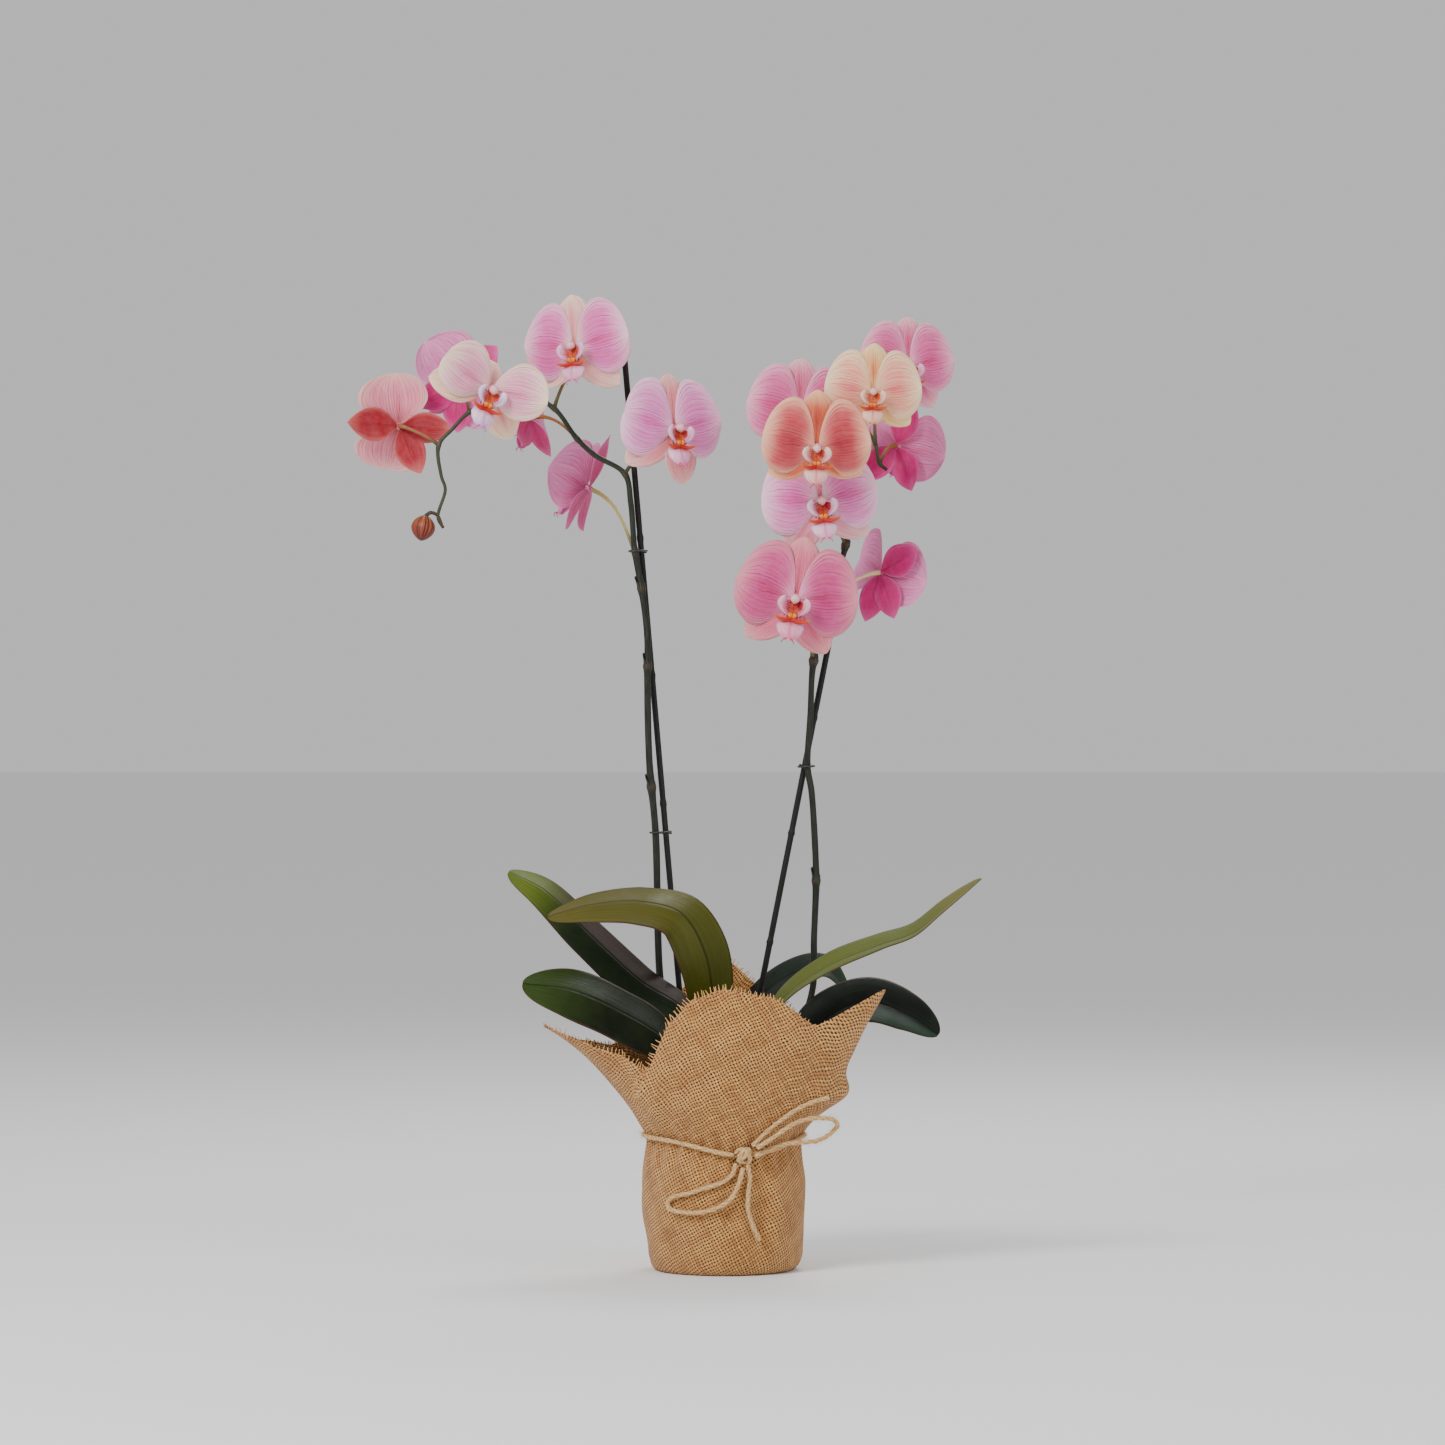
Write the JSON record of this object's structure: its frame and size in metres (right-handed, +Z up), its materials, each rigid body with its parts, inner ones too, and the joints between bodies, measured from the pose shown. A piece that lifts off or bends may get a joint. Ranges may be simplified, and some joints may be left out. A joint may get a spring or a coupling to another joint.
{
  "type": "potted orchid",
  "caption": "Moth orchid with two staked spikes of pink flowers over broad leaves, its pot gathered in jute cloth tied with a twine bow.",
  "frame": {"origin": "middle of the flat underside of the cloth-wrapped pot, on the surface it stands on", "axes": "+Z up the plant, -Y towards the viewer who sees the twine bow, +X to that viewer's right"},
  "size_m": [0.476, 0.1927, 0.7318],
  "materials": {
    "jute_cloth": "coarse open plain-woven jute, matt",
    "twine": "pale twisted jute cord, hairy",
    "pot_plastic": "thin moulded grow pot, satin",
    "bark": "rough damp bark chips",
    "crown": "grey-green root skin, matt",
    "leaf": "smooth waxy leaf, satin",
    "spike": "smooth dark green stem, satin",
    "stake": "dark coated support cane, satin",
    "clip_wire": "dark wire, satin",
    "bud": "brown-red bud skin with dark veins, satin",
    "petals_pink": "velvety pink petal, fine veins",
    "petals_cream": "velvety cream petal flushed pink",
    "petals_peach": "velvety peach-pink petal",
    "petals_magenta": "velvety petal, magenta on its back",
    "petals_salmon": "velvety petal, salmon red on its back",
    "lip": "glossy white and orange-red lip"
  },
  "bodies": {
    "root": {"jute_wrap": "jute_cloth", "grow_pot": "pot_plastic", "bark_mix": "bark", "crown_and_roots": "crown", "stake_left": "stake", "stake_right": "stake", "clip_left_upper": "clip_wire", "clip_left_lower": "clip_wire", "clip_right": "clip_wire", "spike_left": "spike", "spike_right": "spike", "bud_left": "bud", "leaf_upper_left": "leaf", "leaf_arching": "leaf", "leaf_lower_left": "leaf", "leaf_upper_right": "leaf", "leaf_back_right": "leaf", "leaf_lower_right": "leaf", "tepals_left_1": "petals_pink", "lip_left_1": "lip", "tepals_left_2": "petals_pink", "lip_left_2": "lip", "tepals_left_3": "petals_cream", "lip_left_3": "lip", "tepals_left_4": "petals_magenta", "lip_left_4": "lip", "tepals_left_5": "petals_salmon", "lip_left_5": "lip", "tepals_left_6": "petals_magenta", "lip_left_6": "lip", "tepals_left_7": "petals_magenta", "lip_left_7": "lip", "tepals_right_1": "petals_pink", "lip_right_1": "lip", "tepals_right_2": "petals_cream", "lip_right_2": "lip", "tepals_right_3": "petals_pink", "lip_right_3": "lip", "tepals_right_4": "petals_peach", "lip_right_4": "lip", "tepals_right_5": "petals_pink", "lip_right_5": "lip", "tepals_right_6": "petals_pink", "lip_right_6": "lip", "tepals_right_7": "petals_magenta", "lip_right_7": "lip", "tepals_right_8": "petals_magenta", "lip_right_8": "lip", "twine_tie": "twine", "twine_knot": "twine", "twine_loop_left": "twine", "twine_loop_right": "twine", "twine_tail_down": "twine", "twine_tail_up": "twine"}
  },
  "joints": []
}
